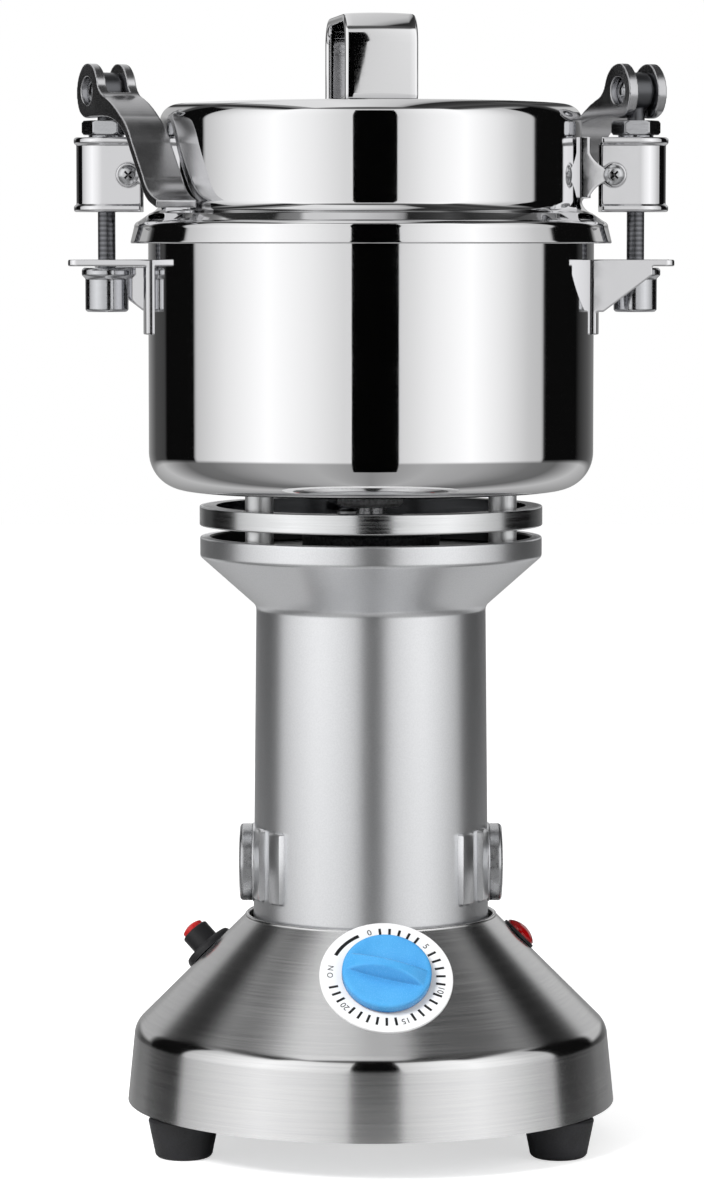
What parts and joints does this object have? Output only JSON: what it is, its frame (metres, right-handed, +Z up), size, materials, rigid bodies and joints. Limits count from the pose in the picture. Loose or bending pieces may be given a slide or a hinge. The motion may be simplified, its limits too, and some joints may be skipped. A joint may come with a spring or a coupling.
{
  "type": "electric spice grinder",
  "caption": "Electric spice grinder: clamped mirror-steel bowl and lid over a cast motor column and a conical steel base with timer dial, reset button and pilot lamp.",
  "frame": {"origin": "on the floor under the motor axis, at the centre of the overall box's bottom face", "axes": "+Z up along the motor axis, -Y to the front where the timer dial is, +X to the right clamp"},
  "size_m": [0.24, 0.1975, 0.45],
  "materials": {
    "base_shell": "horizontally brushed stainless sheet",
    "zinc_sheet": "zinc-plated pressed sheet",
    "foot_rubber": "moulded, matt black",
    "plated_screw": "bright zinc-plated steel screws",
    "post_steel": "zinc-plated bar",
    "housing_silver": "satin silver on fine-cast aluminium",
    "cast_dark": "cast, dark and rough",
    "shield_aluminium": "as cast",
    "bearing_steel": "ground steel",
    "cap_steel": "turned and polished",
    "black_plastic": "moulded black, fine grain",
    "carbon": "pressed carbon",
    "spring_steel": "drawn wire",
    "core_steel": "stacked laminations",
    "enamel_copper": "enamelled copper winding",
    "commutator_copper": "turned copper bars",
    "fan_plastic": "moulded natural",
    "shaft_steel": "ground steel",
    "dial_white": "white with black print",
    "knob_blue": "moulded sky blue, semi-gloss",
    "button_red": "moulded red",
    "lens_red": "clear dark red",
    "ring_steel": "turned, satin",
    "hub_grey": "cast, grey and rough",
    "seal_rubber": "lip seal",
    "mirror_steel": "mirror-polished stainless steel",
    "blade_steel": "ground stainless",
    "lid_silicone": "moulded silicone",
    "clamp_steel": "pressed and polished stainless",
    "clamp_zinc": "die cast, polished",
    "nut_steel": "turned bright steel"
  },
  "bodies": {
    "base": {"base_shell": "base_shell", "base_plate": "zinc_sheet", "rubber_feet": "foot_rubber", "foot_screws": "plated_screw", "support_posts": "post_steel", "motor_housing": "housing_silver", "bearing_cap": "cast_dark", "lower_end_shield": "shield_aluminium", "motor_bearings": "bearing_steel", "brush_caps": "cap_steel", "brush_holders": "black_plastic", "carbon_brushes": "carbon", "brush_springs": "spring_steel", "stator_core": "core_steel", "field_coils": "enamel_copper", "dial_plate": "dial_white", "timer_body": "black_plastic", "reset_collar": "black_plastic", "breaker_body": "black_plastic", "pilot_lamp_body": "black_plastic", "pilot_lamp_lens": "lens_red", "cord_gland": "black_plastic", "spacer_ring": "ring_steel", "bowl_spacers": "ring_steel", "bowl_screws": "plated_screw", "bowl": "mirror_steel", "shaft_hub": "hub_grey", "shaft_seal": "seal_rubber", "hub_nut": "nut_steel", "catch_brackets": "clamp_steel"},
    "rotor": {"motor_shaft": "shaft_steel", "armature_core": "core_steel", "armature_windings": "enamel_copper", "commutator": "commutator_copper", "cooling_fan": "fan_plastic", "lower_blade": "blade_steel", "middle_blade": "blade_steel", "upper_blade": "blade_steel", "blade_spacers": "shaft_steel", "blade_nut": "nut_steel"},
    "timer": {"timer_knob": "knob_blue", "timer_shaft": "shaft_steel"},
    "reset": {"reset_button": "button_red"},
    "lid": {"lid": "mirror_steel", "lid_gasket": "lid_silicone", "lid_handle": "clamp_steel", "ear_brackets": "clamp_steel", "pivot_screws": "plated_screw"},
    "drum_right": {"clamp_drum_right": "clamp_steel", "clamp_bush_right": "nut_steel"},
    "rod_right": {"clamp_rod_right": "nut_steel", "clamp_pin_right": "nut_steel", "clamp_nut_right": "nut_steel"},
    "lever_right": {"clamp_lever_right": "clamp_zinc"},
    "drum_left": {"clamp_drum_left": "clamp_steel", "clamp_bush_left": "nut_steel"},
    "rod_left": {"clamp_rod_left": "nut_steel", "clamp_pin_left": "nut_steel", "clamp_nut_left": "nut_steel"},
    "lever_left": {"clamp_lever_left": "clamp_zinc"}
  },
  "joints": [
    {"name": "rotor_spin", "type": "hinge", "parent": "base", "child": "rotor", "pos_m": [0, 0, 0.2], "axis": [0, 0, 1], "continuous": true},
    {"name": "timer_turn", "type": "hinge", "parent": "base", "child": "timer", "pos_m": [0.00567, -0.06616, 0.0746], "axis": [0.0604, -0.7045, 0.7071], "range_deg": [-314, 0]},
    {"name": "reset_press", "type": "slide", "parent": "base", "child": "reset", "axis": [0.6645, -0.2418, -0.7071], "range_m": [0, 0.0025], "stiffness_N_per_m": 600, "springref_m": -0.001},
    {"name": "lid_lift", "type": "slide", "parent": "base", "child": "lid", "axis": [0, 0, 1], "range_m": [0, 0.12]},
    {"name": "swing_right", "type": "hinge", "parent": "lid", "child": "drum_right", "pos_m": [0.096, 0, 0.387], "axis": [0, -1, 0], "range_deg": [0, 10]},
    {"name": "rod_drop_right", "type": "slide", "parent": "drum_right", "child": "rod_right", "axis": [0, 0, -1], "range_m": [0, 0.0015], "stiffness_N_per_m": 100, "springref_m": -0.0117},
    {"name": "lever_turn_right", "type": "hinge", "parent": "rod_right", "child": "lever_right", "pos_m": [0.1054, 0, 0.4204], "axis": [0.8926, 0.4509, 0], "range_deg": [0, 110]},
    {"name": "swing_left", "type": "hinge", "parent": "lid", "child": "drum_left", "pos_m": [-0.096, 0, 0.387], "axis": [0, 1, 0], "range_deg": [0, 10]},
    {"name": "rod_drop_left", "type": "slide", "parent": "drum_left", "child": "rod_left", "axis": [0, 0, -1], "range_m": [0, 0.0015], "stiffness_N_per_m": 100, "springref_m": -0.0117},
    {"name": "lever_turn_left", "type": "hinge", "parent": "rod_left", "child": "lever_left", "pos_m": [-0.1054, 0, 0.4204], "axis": [-0.8926, -0.4509, 0], "range_deg": [0, 110]}
  ],
  "couplings": [
    {"joint": "swing_right", "follows": "lever_turn_right", "ratio": 0.0909},
    {"joint": "rod_drop_right", "follows": "lever_turn_right", "m_per_rad": 0.00078},
    {"joint": "swing_left", "follows": "lever_turn_left", "ratio": 0.0909},
    {"joint": "rod_drop_left", "follows": "lever_turn_left", "m_per_rad": 0.00078}
  ]
}
